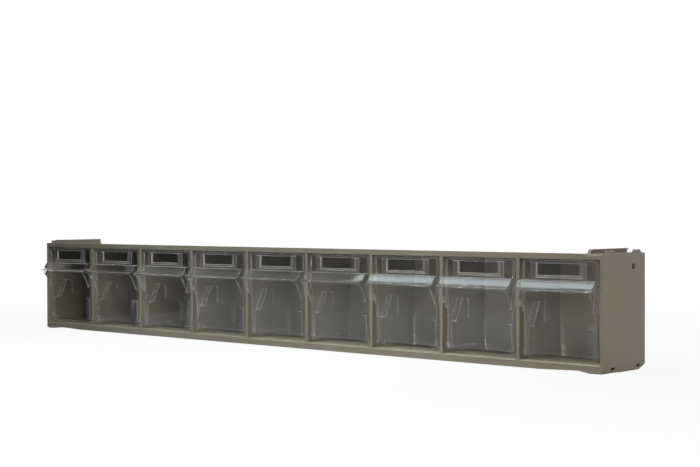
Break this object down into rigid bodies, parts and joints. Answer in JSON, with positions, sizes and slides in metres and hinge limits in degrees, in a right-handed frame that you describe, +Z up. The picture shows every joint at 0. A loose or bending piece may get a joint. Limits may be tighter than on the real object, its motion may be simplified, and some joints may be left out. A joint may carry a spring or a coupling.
{
  "type": "hanging parts bin",
  "caption": "Wall-hung row of clear tip-out parts bins in an opaque plastic housing; each bin has a finger lip and a label pocket and tilts forward on moulded trunnions.",
  "frame": {"origin": "middle of the footprint, at the underside of the feet", "axes": "+X along the row to the right seen from the front, the bin fronts face -Y, +Z up"},
  "size_m": [0.6, 0.0636, 0.0816],
  "materials": {
    "housing_plastic": "fine satin texture, taupe",
    "bin_clear": "polished clear moulding"
  },
  "bodies": {
    "housing_body": {"housing": "housing_plastic", "end_cap_left": "housing_plastic", "end_cap_right": "housing_plastic"},
    "bin_1": {"bin_1": "bin_clear"},
    "bin_2": {"bin_2": "bin_clear"},
    "bin_3": {"bin_3": "bin_clear"},
    "bin_4": {"bin_4": "bin_clear"},
    "bin_5": {"bin_5": "bin_clear"},
    "bin_6": {"bin_6": "bin_clear"},
    "bin_7": {"bin_7": "bin_clear"},
    "bin_8": {"bin_8": "bin_clear"},
    "bin_9": {"bin_9": "bin_clear"}
  },
  "joints": [
    {"name": "bin_1_tilt", "type": "hinge", "parent": "housing_body", "child": "bin_1", "pos_m": [-0.2656, -0.01525, 0.0119], "axis": [1, 0, 0], "range_deg": [0, 26]},
    {"name": "bin_2_tilt", "type": "hinge", "parent": "housing_body", "child": "bin_2", "pos_m": [-0.1992, -0.01525, 0.0119], "axis": [1, 0, 0], "range_deg": [0, 26]},
    {"name": "bin_3_tilt", "type": "hinge", "parent": "housing_body", "child": "bin_3", "pos_m": [-0.1328, -0.01525, 0.0119], "axis": [1, 0, 0], "range_deg": [0, 26]},
    {"name": "bin_4_tilt", "type": "hinge", "parent": "housing_body", "child": "bin_4", "pos_m": [-0.0664, -0.01525, 0.0119], "axis": [1, 0, 0], "range_deg": [0, 26]},
    {"name": "bin_5_tilt", "type": "hinge", "parent": "housing_body", "child": "bin_5", "pos_m": [0, -0.01525, 0.0119], "axis": [1, 0, 0], "range_deg": [0, 26]},
    {"name": "bin_6_tilt", "type": "hinge", "parent": "housing_body", "child": "bin_6", "pos_m": [0.0664, -0.01525, 0.0119], "axis": [1, 0, 0], "range_deg": [0, 26]},
    {"name": "bin_7_tilt", "type": "hinge", "parent": "housing_body", "child": "bin_7", "pos_m": [0.1328, -0.01525, 0.0119], "axis": [1, 0, 0], "range_deg": [0, 26]},
    {"name": "bin_8_tilt", "type": "hinge", "parent": "housing_body", "child": "bin_8", "pos_m": [0.1992, -0.01525, 0.0119], "axis": [1, 0, 0], "range_deg": [0, 26]},
    {"name": "bin_9_tilt", "type": "hinge", "parent": "housing_body", "child": "bin_9", "pos_m": [0.2656, -0.01525, 0.0119], "axis": [1, 0, 0], "range_deg": [0, 26]}
  ]
}
